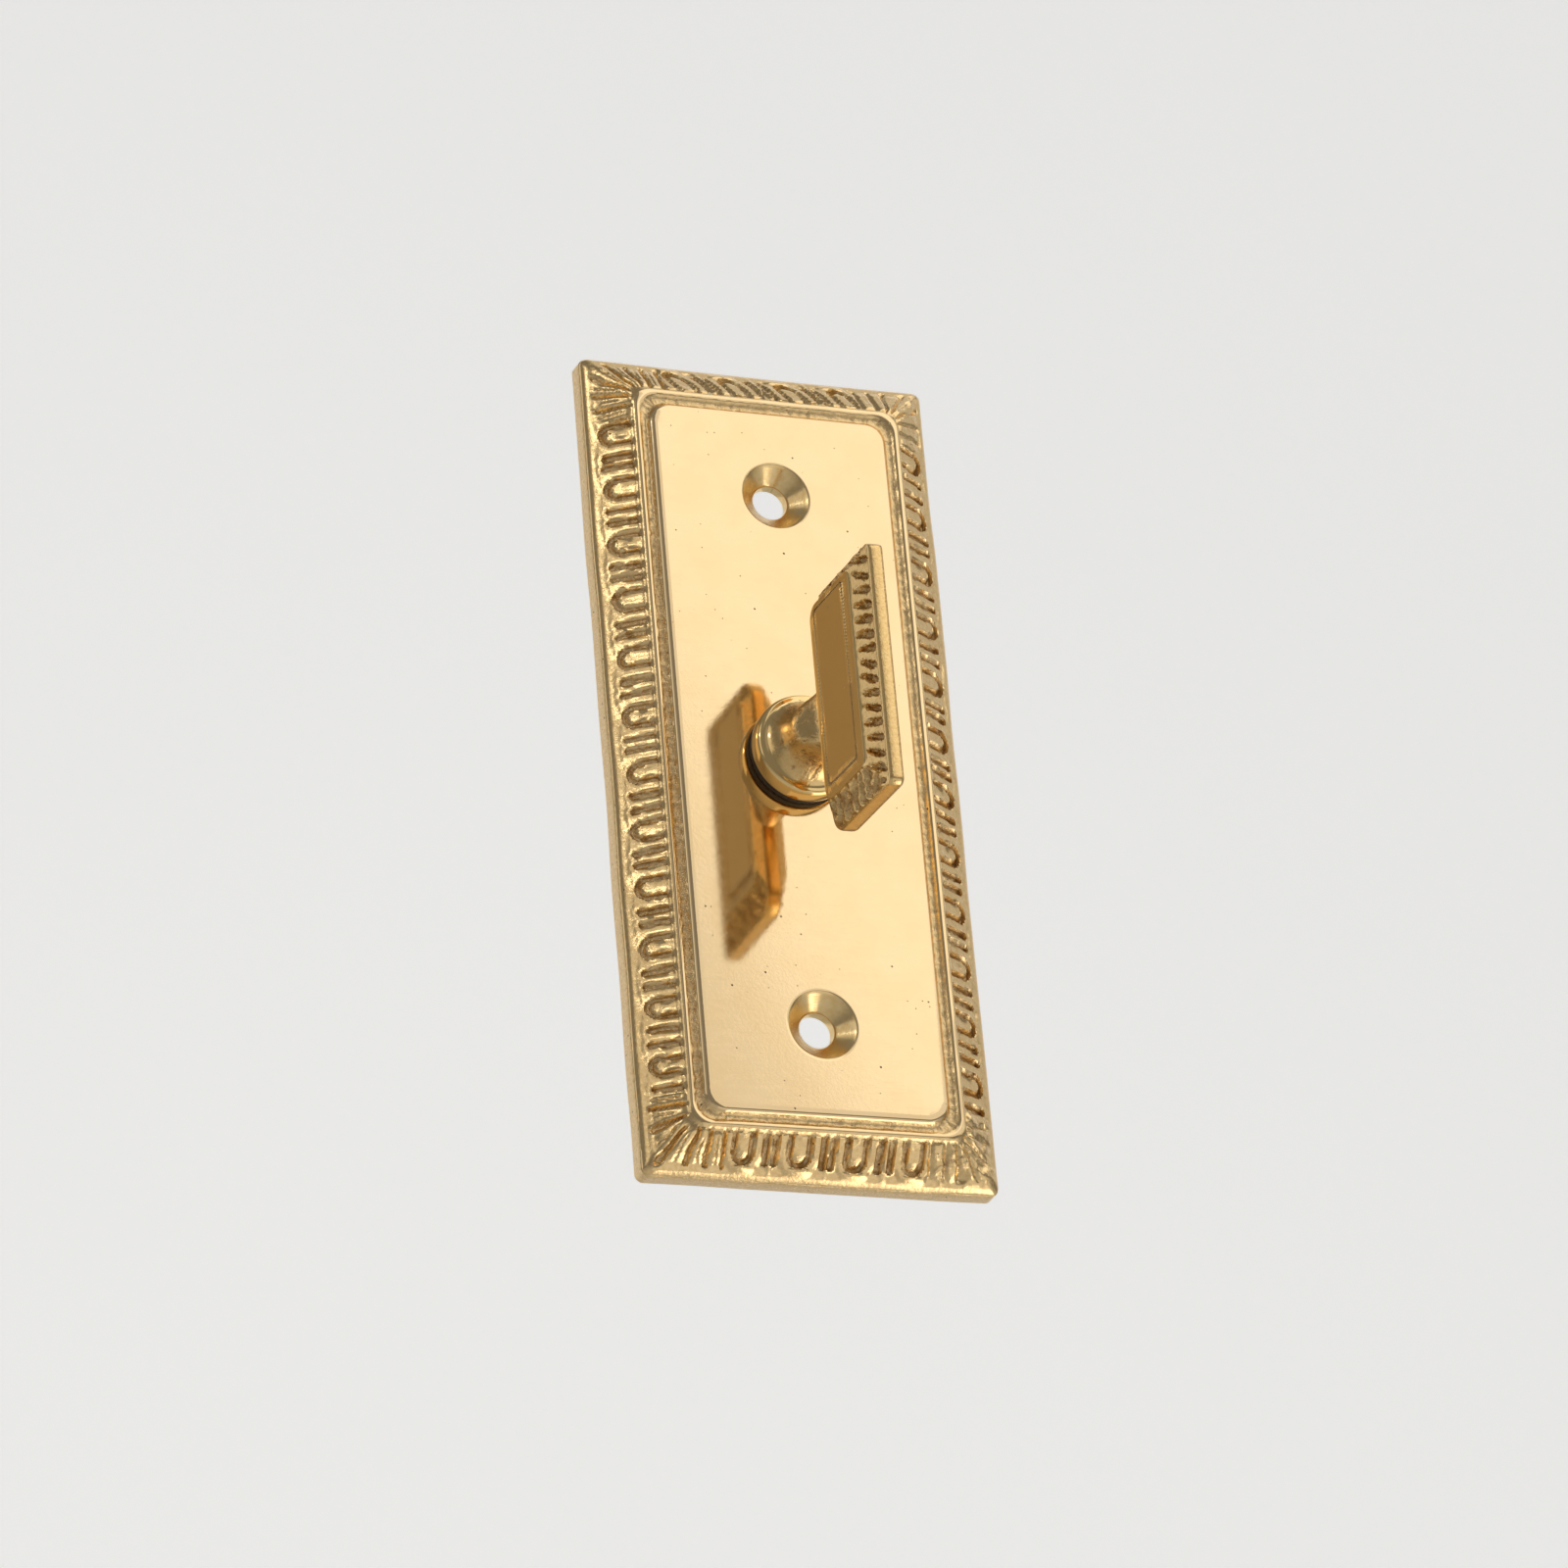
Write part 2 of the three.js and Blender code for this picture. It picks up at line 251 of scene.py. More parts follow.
# The eggs of each side: how many, their pitch and the middle of their run, how high they are domed, how far
# they slant, how deep their grooves are, and how dark a groove's floor is beside its edges. That darkness is
# partly patina and partly painted shade.
LEFT_EGGS = dict(count=12, pitch=7.35, middle=0.9, dome=0.05, slant=0.0, depth=1.0, floor=0.6)
RIGHT_EGGS = dict(LEFT_EGGS, depth=1.5, floor=1.0)
BOTTOM_EGGS = dict(count=4, pitch=7.05, middle=0.1, dome=0.2, slant=0.0, depth=1.0, floor=0.9)
TOP_EGGS = dict(BOTTOM_EGGS, slant=-0.42, depth=0.62, floor=0.6)
EGG_BEND = 2.95                 # inset at which an egg's sides turn into its round end
EGG_RADIUS = 1.13               # to the middle of the groove round an egg
EGG_GROOVE = 0.34               # half the width of that groove
DART_OFFSET = 2.9               # from an egg's middle to the dart beside it
DART_GROOVE = 0.4
GROOVE_DEPTH = 0.5
BORDER_TONE = 0.2               # the border is less bright than the panel even on its ridges

# The leaves of each corner: seed, which corner (right, top), depth, how many leaves, and how worn it is.
CORNER_LEAVES = (
    (51, -1, -1, 0.6, 3, 0.0),
    (53, 1, -1, 0.12, 4, 1.0),
    (57, 1, 1, 0.24, 4, 0.3),
    (59, -1, 1, 0.5, 4, 0.0),
)
LEAF_APEX = 6.7                 # inset of the point that the leaves spread from
LEAF_WIDTH = 1.9


def egg_and_dart(along, inset, eggs, seed):
    """Height change and recess (0 to 1) of a straight run of border."""
    random = np.random.RandomState(seed)
    count, pitch, middle, dome = eggs["count"], eggs["pitch"], eggs["middle"], eggs["dome"]
    along = along + 0.13 * wander(along, inset, 1.9, seed)
    inset = inset + 0.13 * wander(along, inset, 2.3, seed + 1)
    unit = np.clip(np.round((along - middle) / pitch + (count - 1) / 2), 0, count - 1).astype(int)
    shift = random.uniform(-0.14, 0.14, count)[unit]
    lean = random.uniform(-0.05, 0.05, count)[unit] + eggs["slant"]
    size = random.uniform(0.93, 1.05, count)[unit]
    depth = GROOVE_DEPTH * random.uniform(0.8, 1.15, count)[unit] * eggs["depth"]
    across = (along - middle - pitch * (unit - (count - 1) / 2) - shift + lean * (inset - 3)) / size

    off_middle = np.where(inset > EGG_BEND, np.abs(across), np.hypot(across, inset - EGG_BEND))
    past_end = np.maximum(0, inset - 4.85)
    to_egg = np.hypot(np.abs(off_middle - EGG_RADIUS), past_end) - EGG_GROOVE
    past_end = np.maximum(0, 1.95 - inset) + np.maximum(0, inset - 4.75)
    to_dart = np.hypot(np.abs(across) - DART_OFFSET, past_end) - DART_GROOVE
    to_groove = np.minimum(to_egg, to_dart)
    recess = 1 - smoothstep(-0.12, 0.06, to_groove)
    open_end = 1 - smoothstep(4.7, 5.0, inset)
    lip = 0.1 * bell(to_groove - 0.14, 0.1) * open_end
    rim = dome * hump(off_middle - 2.0, 0.55) * open_end
    tongue = 1.3 * dome * hump(off_middle, 0.8) * open_end
    between = dome * hump(np.abs(across) - pitch / 2, 0.45) * open_end
    swell = 1.6 * dome * bell(across, 1.5) * bell(inset - 1.0, 0.5)
    dimple = 0.22 * bell(off_middle - 0.1, 0.3) * bell(inset - 3.9, 0.7)
    dimple = dimple * random.uniform(0, 1, count)[unit]
    # tone darkens the grooves, partly patina and partly painted shade, and darkens them most along their
    # steep edges as painted shade
    edge = bell(to_groove + 0.06, 0.15)
    tone = recess * (eggs["floor"] + (1 - eggs["floor"]) * edge) * min(1, eggs["depth"])
    return lip + rim + tongue + between + swell - dimple - depth * recess, tone


def leaf_fan(side_inset, end_inset, seed, depth, leaves):
    """Height change and recess of a corner, whose leaves spread from the panel's corner."""
    side_inset = side_inset + 0.3 * wander(side_inset, end_inset, 2.2, seed)
    end_inset = end_inset + 0.3 * wander(side_inset, end_inset, 2.2, seed + 1)
    side_reach = LEAF_APEX - side_inset
    end_reach = LEAF_APEX - end_inset
    angle = np.arctan2(np.maximum(end_reach, 0), np.maximum(side_reach, 1e-3))
    phase = angle / (math.pi / 2) * leaves
    phase = np.where(end_reach < 0, end_reach / LEAF_WIDTH, phase)
    phase = np.where(side_reach < 0, leaves - side_reach / LEAF_WIDTH, phase)
    inset = np.minimum(side_inset, end_inset)
    across = np.abs(phase - np.round(phase))
    reach = np.hypot(side_reach, end_reach)
    tip = 0.5 * (0.5 - across)
    room = smoothstep(0.95 + tip, 1.5 + tip, inset)
    valley = smoothstep(0.33, 0.46, across) * (1 - smoothstep(4.8, 5.2, inset))
    vein = 0.35 * (1 - smoothstep(0.02, 0.09, across))
    vein = vein * smoothstep(2.6, 3.4, reach) * (1 - smoothstep(5.6, 6.6, reach))
    recess = np.clip(np.maximum(valley, vein) * room, 0, 1)
    crest = 0.26 * np.cos(math.pi * across)
    crest = crest * smoothstep(0.9, 2.2, inset) * (1 - smoothstep(4.4, 5.2, inset))
    # The leaves' valleys are darker, partly patina and partly painted shade.
    return crest - depth * recess, recess * (0.1 + 0.65 * depth)


def border_relief(x, y):
    """Height change and recess of the ornament at points of the plate."""
    side_inset = HALF_WIDTH - np.abs(x)
    end_inset = HALF_HEIGHT - np.abs(y)
    long_side = side_inset <= end_inset
    height = np.zeros_like(x)
    recess = np.zeros_like(x)
    for seed, here, along, inset, eggs in (
        (11, long_side & (x < 0), y, side_inset, LEFT_EGGS),
        (23, long_side & (x >= 0), y, side_inset, RIGHT_EGGS),
        (37, ~long_side & (y < 0), x, end_inset, BOTTOM_EGGS),
        (41, ~long_side & (y >= 0), x, end_inset, TOP_EGGS),
    ):
        raised, sunk = egg_and_dart(along, inset, eggs, seed)
        height = np.where(here, raised, height)
        recess = np.where(here, sunk, recess)
    fan = (1 - smoothstep(9.0, 9.4, end_inset)) * (1 - smoothstep(9.6, 10.0, side_inset))
    for seed, right, top, depth, leaves, wear in CORNER_LEAVES:
        here = (np.sign(x) == right) & (np.sign(y) == top)
        raised, sunk = leaf_fan(side_inset, end_inset, seed, depth, leaves)
        raised = raised + wear * (0.2 * wander(x, y, 1.3, seed + 2) + 0.1 * wander(x, y, 0.5, seed + 3))
        sunk = np.maximum(sunk, 0.55 * wear * smoothstep(0.15, 0.6, wander(x, y, 0.8, seed + 2)))
        height = np.where(here, height * (1 - fan) + raised * fan, height)
        recess = np.where(here, recess * (1 - fan) + sunk * fan, recess)
    return height, recess


BAND_START, BAND_END = (1.4, 3.67), (5.0, 6.1)      # inset and height of the ornament's slope
BORDER_BAND_ROWS = 26
WALL_TOP = 2.65                 # the plate's outer wall ends here
SEAM_HEIGHT = 2.52
BEAD_INSET = 5.6


def border_profile():
    """Insets and heights across the border, from the outer wall to the flat panel."""
    wall = [(0.3, 0.0), (0.0, 0.3), (0.03, 1.5), (0.05, 2.36), (0.13, 2.5), (0.12, 2.62)]
    shoulder = [(0.19, 2.8), (0.3, 2.97), (0.44, 3.13), (0.6, 3.27), (0.8, 3.4), (1.03, 3.51), (1.25, 3.6)]
    band = []
    for step in range(BORDER_BAND_ROWS):
        share = step / (BORDER_BAND_ROWS - 1)
        band.append(tuple(low + (high - low) * share for low, high in zip(BAND_START, BAND_END)))
    bead = [(5.11, 6.22), (5.25, 6.36), (5.42, 6.47), (BEAD_INSET, 6.52), (5.77, 6.5), (5.91, 6.42)]
    groove = [(6.02, 6.3), (6.13, 6.2), (6.3, 6.14), (6.5, 6.13), (6.7, 6.16), (6.84, 6.26), (6.93, 6.42)]
    panel_edge = [(7.02, 6.6), (7.12, 6.74), (7.26, 6.82), (7.45, 6.865), (7.7, 6.89), (8.0, PANEL_HEIGHT)]
    return wall + shoulder + band + bead + groove + panel_edge


def border_row(columns, inset, height):
    """Points of the plate's front at one inset, and the recess of each."""
    starts, directions, angles = columns
    outline = starts + directions * outline_distance(angles, inset)[:, None]
    x, y = outline[:, 0], outline[:, 1]
    sway = 0.5 + 0.5 * wander(x + 40, y + 60, 11.0, 76)
    shift = 0.28 * sway * (1 - smoothstep(1.0, 3.5, inset))
    shift = shift + 0.3 * np.maximum(directions[:, 0], directions[:, 1]) * smoothstep(5.1, 7.0, inset)
    xy = outline - directions * shift[:, None]

    raised, recess = border_relief(x, y)
    left = (HALF_WIDTH - np.abs(x) < HALF_HEIGHT - np.abs(y)) & (x < 0)
    in_band = smoothstep(0.5, 1.3, inset) * (1 - smoothstep(4.92, 5.1, inset))
    in_groove = smoothstep(5.85, 6.15, inset) * (1 - smoothstep(6.85, 7.02, inset))
    sand = 0.7 * wander(x, y, 0.32, 71) + wander(x, y, 0.58, 72)
    groove_sand = np.where(left & (y < 30), 0.6, 0.3) * in_groove
    z = height + raised * in_band + 0.17 * sand * np.maximum(recess * in_band, groove_sand)
    if height > WALL_TOP:
        hollows = 0.06 * wander(x, y, 1.7, 74) + 0.025 * wander(x, y, 0.7, 77)
        hollows = hollows * np.where(left, 0.5, 1.0)
        z = z + hollows * in_band + 0.07 * wander(x, y, 6.0, 73) * (1 - smoothstep(1.2, 2.2, inset))
        z = z + 0.03 * wander(x, y, 4.0, 75) * (1 - smoothstep(6.95, 7.05, inset))

    # The outer wall is left matte, and its colour is darkened as painted shade; seam darkens a thin line at
    # its top.
    wall = 1 - smoothstep(2.45, 2.75, height)
    seam = bell(height - SEAM_HEIGHT, 0.07) * (0.6 + 0.3 * wander(x, y, 3.0, 78))
    matte_and_shade = np.maximum(0.55 * wall, seam) if height > 0.2 else 0.55
    metal = BORDER_TONE * (1 - smoothstep(6.95, 7.2, inset)) * (1 - 0.8 * bell(inset - BEAD_INSET, 0.25))
    # groove_tone darkens the sandy groove beside the panel, partly patina and partly painted shade: 0.62 on
    # the left side, falling to 0.36 near its top, and 0.4 on the other sides.
    groove_tone = np.where(left, 0.62 - 0.26 * smoothstep(22, 34, y), 0.4)
    recess = np.maximum(recess * in_band, groove_tone * in_groove)
    return np.stack([xy[:, 0], xy[:, 1], z], axis=1), np.maximum(metal + (1 - metal) * recess, matte_and_shade)


def round_hole(points, faces, recess, circles):
    """Joins circles of points down a hole and returns the numbers of the first and last."""
    count = len(circles[0])
    first = len(points)
    for ring in circles:
        points.extend(ring)
        recess.extend([0.0] * count)
    for row in range(len(circles) - 1):
        here = first + row * count
        faces.extend(strip(here + count, here, count))
    return list(range(first, first + count)), list(range(len(points) - count, len(points)))


def inner_grid(points, recess, inset, height, holes, step, roughness=0.0, seed=0):
    """Loose points that keep the triangles of a filled face well shaped."""
    added = []
    for x in np.arange(inset - HALF_WIDTH + step / 2, HALF_WIDTH - inset, step):
        for y in np.arange(inset - HALF_HEIGHT + step / 2, HALF_HEIGHT - inset, step):
            if all(math.hypot(x - cx, y - cy) > radius + 0.4 * step for cx, cy, radius in holes):
                added.append(len(points))
                points.append(np.array([x, y, height + roughness * float(wander(x, y, 2.2, seed))]))
                recess.append(0.0)
    return added


def back_edge(radius):
    """Radii and heights where a hole comes out at the back: its wall's end, chamfer and collar."""
    return [(radius, POCKET_CEILING + 0.1), (radius + 0.1, POCKET_CEILING), (radius + 0.35, POCKET_CEILING)]


def screw_hole_rings():
    """Radii and heights down a countersunk hole."""
    slope = (COUNTERSINK_RADIUS - HOLE_RADIUS) / COUNTERSINK_DEPTH
    throat = PANEL_HEIGHT - COUNTERSINK_DEPTH
    rings = [(COUNTERSINK_RADIUS + 0.3, PANEL_HEIGHT), (COUNTERSINK_RADIUS + 0.06, PANEL_HEIGHT)]
    for step in range(9):
        drop = 0.05 + (COUNTERSINK_DEPTH - 0.1) * step / 8
        rings.append((COUNTERSINK_RADIUS - slope * drop, PANEL_HEIGHT - drop))
    return rings + [(HOLE_RADIUS, throat - 0.08)] + back_edge(HOLE_RADIUS)


def bore_rings():
    """Radii and heights down the bore for the shank."""
    front_edge = [(BORE_RADIUS + 0.3, PANEL_HEIGHT), (BORE_RADIUS + 0.1, PANEL_HEIGHT)]
    return front_edge + [(BORE_RADIUS, PANEL_HEIGHT - 0.1)] + back_edge(BORE_RADIUS)


# Insets and heights from the back of the rim to the ceiling of the hollow behind the plate.
POCKET_PROFILE = [(3.85, 0.0), (4.05, 0.15), (4.6, 1.9), (5.1, 3.42), (5.7, POCKET_CEILING)]


def pocket_row(columns, inset, height):
    starts, directions, angles = columns
    xy = starts + directions * outline_distance(angles, inset)[:, None]
    rough = 0.05 if height > 0 else 0.0
    z = height + rough * wander(xy[:, 0], xy[:, 1], 1.1, 81) * (1 - smoothstep(3.4, 3.58, height))
    return np.stack([xy[:, 0], xy[:, 1], np.maximum(z, 0)], axis=1)


def backplate():
    columns = plate_columns()
    count = len(columns[0])
    points, recess = [], []
    for inset, height in border_profile():
        row_points, row_recess = border_row(columns, inset, height)
        points.extend(row_points)
        recess.extend(row_recess)
    faces = grid_faces(len(points) // count, count)
    panel_edge = list(range(len(points) - count, len(points)))

    front_loops, back_loops, holes, cut_faces = [], [], [], []
    for y, radius, rings in (
        (-SCREW_HEIGHT, COUNTERSINK_RADIUS, screw_hole_rings()),
        (SCREW_HEIGHT, COUNTERSINK_RADIUS, screw_hole_rings()),
        (0.0, BORE_RADIUS, bore_rings()),
    ):
        begin = len(faces)
        top, bottom = round_hole(points, faces, recess, [circle(r, z, (0.0, y)) for r, z in rings])
        if radius == COUNTERSINK_RADIUS:
            # all but the flat collar in front and the two edges at the back
            cut_faces += range(begin + HOLE_SIDES, begin + HOLE_SIDES * (len(rings) - 3))
        front_loops.append(top)
        back_loops.append(bottom)
        holes.append((0.0, y, radius))
    inner = inner_grid(points, recess, 8.2, PANEL_HEIGHT, holes, step=2.0)
    faces += fill(panel_edge, front_loops, inner, points)

    back_start = len(faces)
    here = 0
    for inset, height in POCKET_PROFILE:
        row = len(points)
        points.extend(pocket_row(columns, inset, height))
        recess.extend([0.0] * count)
        faces += strip(row, here, count)
        here = row
    inner = inner_grid(points, recess, 6.3, POCKET_CEILING, holes, step=0.8, roughness=0.07, seed=83)
    faces += [face[::-1] for face in fill(list(range(here, here + count)), back_loops, inner, points)]

    plate = make_mesh("cast_backplate", np.array(points), faces, {"recess": recess})
    indices = np.zeros(len(faces), dtype=np.int32)
    indices[cut_faces] = 1
    indices[back_start:] = 2
    plate.data.polygons.foreach_set("material_index", indices)
    return plate


# ---- thumb turn ------------------------------------------------------------------------------

TOP_SHARE = 0.45                # insets at the wing's top end, as a share of those at its lower end
WING_LEAN = 0.45                # how far the cast wing leans to the right at its outer edge
TOOTH_PITCH = 1.85
TOOTH_MIDDLE = 0.5              # how far up the wing the middle tooth is
LAST_TOOTH = 7                  # the teeth run from -7 to 7
BAND_WIDTH = 4.0                # of the toothed band along the wing's outer edge
END_WIDTH = 3.9                 # of the leafy band at its lower end
CORNER_STEPS = 10
SIDE_STEPS = (150, 56, 140, 56)             # outer edge, lower end, inner edge, top end


def wing_outline(end_inset, inner_inset, outer_inset, inner_radius, outer_radius):
    """Points (y, z) round the wing's outline; every outline has the same number of points."""
    top = WING_HALF_LENGTH - TOP_SHARE * end_inset
    bottom = end_inset - WING_HALF_LENGTH
    low = WING_INNER + inner_inset
    high = WING_OUTER - outer_inset
    corners = [
        (top - outer_radius, high - outer_radius, outer_radius, 0),
        (bottom + outer_radius, high - outer_radius, outer_radius, 90),
        (bottom + inner_radius, low + inner_radius, inner_radius, 180),
        (top - inner_radius, low + inner_radius, inner_radius, 270),
    ]
    arcs = []
    for y, z, radius, first in corners:
        angles = np.radians(first + 90 * np.arange(CORNER_STEPS + 1) / CORNER_STEPS)
        arcs.append(np.stack([y + radius * np.cos(angles), z + radius * np.sin(angles)], axis=1))
    points = []
    for number, steps in enumerate(SIDE_STEPS):
        points.extend(arcs[number])
        following = arcs[(number + 1) % 4][0]
        for step in range(1, steps):
            points.append(arcs[number][-1] + (following - arcs[number][-1]) * step / steps)
    return np.array(points)


def wing_relief(y, z, share):
    """Height change and recess of the wing's bands. share is 0 at its rim and 1 at its panel."""
    outer = WING_OUTER - z
    end = np.where(y > 0, (WING_HALF_LENGTH - y) / TOP_SHARE, WING_HALF_LENGTH + y)
    inner = z - WING_INNER
    y = y + 0.1 * wander(y, z, 1.7, 91)
    on_outer = smoothstep(-0.1, 0.02, end / END_WIDTH - outer / BAND_WIDTH)
    on_outer = on_outer * smoothstep(-0.2, 0.2, inner - outer / BAND_WIDTH)
    on_inner = smoothstep(-0.1, 0.1, end / END_WIDTH - inner)
    on_inner = on_inner * smoothstep(-0.1, 0.1, outer / BAND_WIDTH - inner)
    on_end = 1 - np.maximum(on_outer, on_inner)

    count = 2 * LAST_TOOTH + 1
    tooth = np.clip(np.round((y - TOOTH_MIDDLE) / TOOTH_PITCH), -LAST_TOOTH, LAST_TOOTH).astype(int)
    random = np.random.RandomState(97)
    slant = (0.4 + random.uniform(-0.22, 0.22, count))[tooth + LAST_TOOTH] * (outer - 2.0)
    width = random.uniform(0.34, 0.52, count)[tooth + LAST_TOOTH]
    depth = random.uniform(0.4, 0.6, count)[tooth + LAST_TOOTH]
    reach = random.uniform(1.45, 1.8, count)[tooth + LAST_TOOTH]
    off = y - TOOTH_MIDDLE - TOOTH_PITCH * tooth - slant + 0.12 * wander(y, z, 0.8, 95)
    along = (outer - 1.75) / reach
    inside = np.clip(1 - along ** 2, 0, 1)
    half_width = width * np.sqrt(inside) * (1 - 0.35 * along)
    eye = (1 - smoothstep(-0.14, 0.1, np.abs(off) - half_width)) * (inside > 0)
    glint = bell(off - 0.1, 0.11) * smoothstep(-0.3, 0.4, along)
    lip = 0.12 * bell(np.abs(off) - half_width - 0.14, 0.11) * (inside > 0)

    bend = z + 0.7 * wander(y, z, 2.4, 96) - 0.45 * end
    leaf = np.abs(np.cos(math.pi * bend / 2.1))
    valley = (1 - smoothstep(0.2, 0.85, leaf)) * smoothstep(0.25, 0.7, end) * (1 - smoothstep(3.3, 3.8, end))
    clumps = smoothstep(-0.1, 0.5, wander(y, z, 0.75, 99))

    band = smoothstep(0.02, 0.1, share) * (1 - smoothstep(0.92, 0.99, share))
    rough = 0.5 + 0.5 * wander(y, z, 0.55, 98)
    sunk_end = on_end * np.clip(0.4 + 0.5 * valley * rough + 0.4 * clumps, 0, 1)
    # The teeth's cuts and the end band's valleys are darker, partly patina and partly painted shade, and
    # glint paints a highlight along the ridge in each cut.
    recess = np.maximum(np.maximum(eye * on_outer * (0.9 - 0.55 * glint), 0.2 * on_inner), sunk_end)
    recess = np.maximum(band * recess, 0.3 * band)
    lift = band * (lip * on_outer + 0.16 * leaf * on_end)
    cut = (depth - 0.3 * glint) * eye * on_outer + (0.3 * valley + 0.18 * clumps) * on_end
    bumps = (0.12 * wander(y, z, 0.9, 93) + 0.08 * wander(y, z, 0.4, 92)) * on_end
    bumps = bumps + 0.06 * wander(y, z, 0.45, 94) * np.maximum(eye, 0.3)
    return lift - band * cut + band * bumps, recess


# Half thickness of the wing, and wing_outline's insets and corner radii, from the wing's rim across
# its bands to the panel.
WING_RINGS = [
    (0.5, (0.0, 0.0, 0.0, 3.0, 0.9)),
    (0.74, (0.04, 0.02, 0.05, 3.0, 0.9)),
    (0.88, (0.12, 0.08, 0.12, 2.95, 0.85)),
    (0.94, (0.3, 0.2, 0.32, 2.9, 0.8)),
    (1.9, (3.85, 0.95, 3.9, 1.9, 0.9)),
    (2.02, (3.98, 1.04, 4.02, 1.8, 0.85)),
    (2.0, (4.15, 1.2, 4.2, 1.7, 0.8)),
    (2.0, (5.4, 2.0, 5.75, 0.6, 0.4)),
    (1.9, (5.5, 2.09, 5.84, 0.6, 0.4)),
    (1.8, (5.62, 2.2, 5.96, 0.6, 0.4)),
    (1.9, (5.74, 2.31, 6.08, 0.6, 0.4)),
    (2.0, (5.84, 2.4, 6.17, 0.6, 0.4)),
    (2.0, (6.6, 3.1, 6.9, 0.5, 0.35)),
    (2.0, (8.4, 4.6, 8.2, 0.4, 0.3)),
]
RIM_RING = 3                    # the band is drawn between this ring and the next
WING_BAND_ROWS = 24


def wing_rings():
    """Half thickness, insets and share (0 at the rim and 1 at the panel) of every ring."""
    rings = []
    for number, (x, insets) in enumerate(WING_RINGS):
        rings.append((x, insets, 0.0 if number <= RIM_RING else 1.0))
        if number == RIM_RING:
            next_x, next_insets = WING_RINGS[number + 1]
            for step in range(1, WING_BAND_ROWS):
                share = step / WING_BAND_ROWS
                mixed = tuple(a + (b - a) * share for a, b in zip(insets, next_insets))
                rings.append((x + (next_x - x) * share, mixed, share))
    return rings


def wing():
    rings = wing_rings()
    columns = len(wing_outline(*rings[0][1]))
    points, recess = [], []
    for side in (1, -1):
        for x, insets, share in (reversed(rings) if side > 0 else rings):
            y, z = wing_outline(*insets).T
            lift, sunk = wing_relief(y, z, share)
            if 5.45 < insets[0] < 5.8:
                # the row of small dots round the panel, which is dark at both ends and darker between the
                # dots, partly patina and partly painted shade
                dots = 0.5 + 0.5 * np.sin(2 * math.pi * np.arange(columns) / 3.0)
                lift = 0.2 * dots
                sunk = np.where(np.abs(y - 1.4) > 9.4, 1.0, 0.1 + 0.8 * (1 - dots))
            # Painted shade: the rim's rings past the edge on the +x side, the wing's far side, are darkened;
            # the rest of the rim gets the border's cast tone.
            if share == 0:
                sunk = np.maximum(sunk, 0.6 if side > 0 and x > 0.5 else BORDER_TONE)
            lean = WING_LEAN * (z - WING_INNER) / (WING_OUTER - WING_INNER)
            points.extend(np.stack([side * (x + lift) + lean, y, z], axis=1))
            recess.extend(sunk)
    faces = grid_faces(2 * len(rings), columns)
    cap_ends(points, faces, recess, columns)
    return np.array(points), faces, np.array(recess)


def stem_profile():
    """Radii across (x) and along the wing (y), with heights, from the shank's tip to the wing."""
    groove_radius = 4.1
    turned = [
        (SHANK_RADIUS - 0.4, SHANK_TIP), (SHANK_RADIUS - 0.1, SHANK_TIP + 0.1),
        (SHANK_RADIUS, SHANK_TIP + 0.4), (SHANK_RADIUS, RING_BOTTOM - 0.1),
        (groove_radius, RING_BOTTOM - 0.08), (groove_radius, RING_TOP + 0.08), (SHANK_RADIUS, RING_TOP + 0.1),
        (SHANK_RADIUS, FLANGE_BOTTOM), (FLANGE_RADIUS - 0.22, FLANGE_BOTTOM),
        (FLANGE_RADIUS - 0.06, FLANGE_BOTTOM + 0.06), (FLANGE_RADIUS, FLANGE_BOTTOM + 0.22),
        (FLANGE_RADIUS + 0.02, FLANGE_BOTTOM + 0.8), (FLANGE_RADIUS + 0.02, FLANGE_BOTTOM + 1.4),
        (FLANGE_RADIUS - 0.02, FLANGE_TOP - 0.5), (FLANGE_RADIUS - 0.1, FLANGE_TOP - 0.25),
        (FLANGE_RADIUS - 0.24, FLANGE_TOP - 0.07), (FLANGE_RADIUS - 0.42, FLANGE_TOP),
    ]
    rings = [(radius, radius, height) for radius, height in turned]
    foot = NECK_WAIST - FLANGE_TOP
    flare = FLANGE_RADIUS - 0.42 - NECK_RADIUS
    for step in range(1, 19):
        angle = math.pi / 2 * step / 18
        radius = NECK_RADIUS + flare * (1 - math.sin(angle))
        rings.append((radius, radius, NECK_WAIST - foot * math.cos(angle)))
    head = WING_INNER + 1.3 - NECK_WAIST
    for step in range(1, 17):
        along = step / 16
        across = NECK_RADIUS - 2.05 * (1 - math.cos(math.pi * along)) / 2
        spread = 2.6 * (1 - math.sqrt(1 - along * along))
        rings.append((across, NECK_RADIUS + spread, NECK_WAIST + head * along))
    return rings


